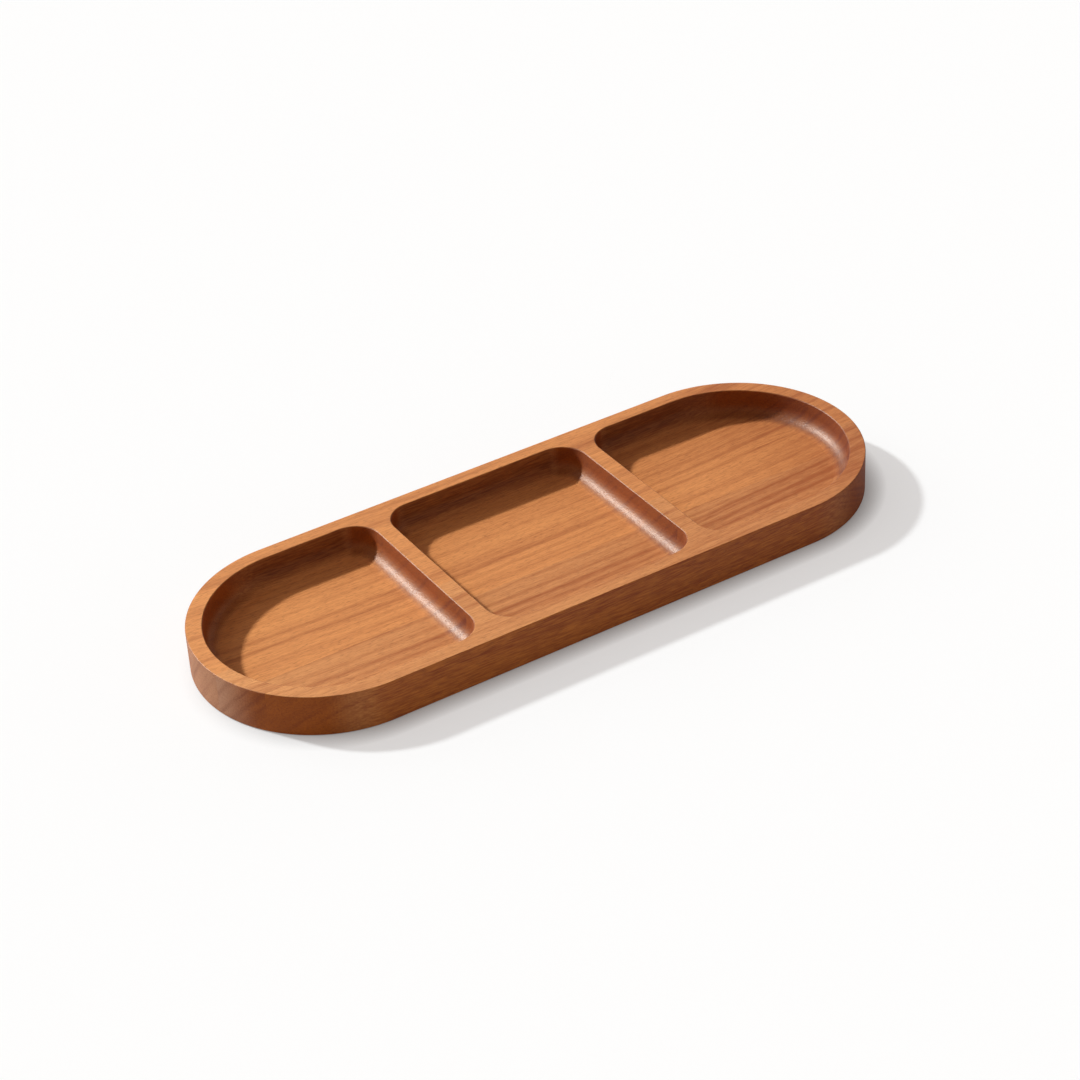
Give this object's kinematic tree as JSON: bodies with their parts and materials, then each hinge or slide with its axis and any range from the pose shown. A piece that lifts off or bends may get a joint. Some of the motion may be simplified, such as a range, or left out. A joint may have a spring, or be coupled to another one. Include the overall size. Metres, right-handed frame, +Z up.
{
  "type": "divided serving tray",
  "caption": "Long low wooden serving tray with round ends and a row of coved wells parted by narrow dividers, milled from an edge-glued board.",
  "frame": {"origin": "on the underside, under the middle of the tray", "axes": "+X along the tray's length and along the grain, +Y towards the rear long side, +Z up out of the wells"},
  "size_m": [0.36, 0.1274, 0.0215],
  "materials": {
    "amber_wood": "oiled, satin, fine open pores",
    "russet_wood": "oiled, satin, fine open pores"
  },
  "bodies": {
    "root": {"front_edge_stave": "russet_wood", "front_inner_stave": "russet_wood", "centre_stave": "amber_wood", "rear_inner_stave": "amber_wood", "rear_edge_stave": "amber_wood"}
  },
  "joints": []
}
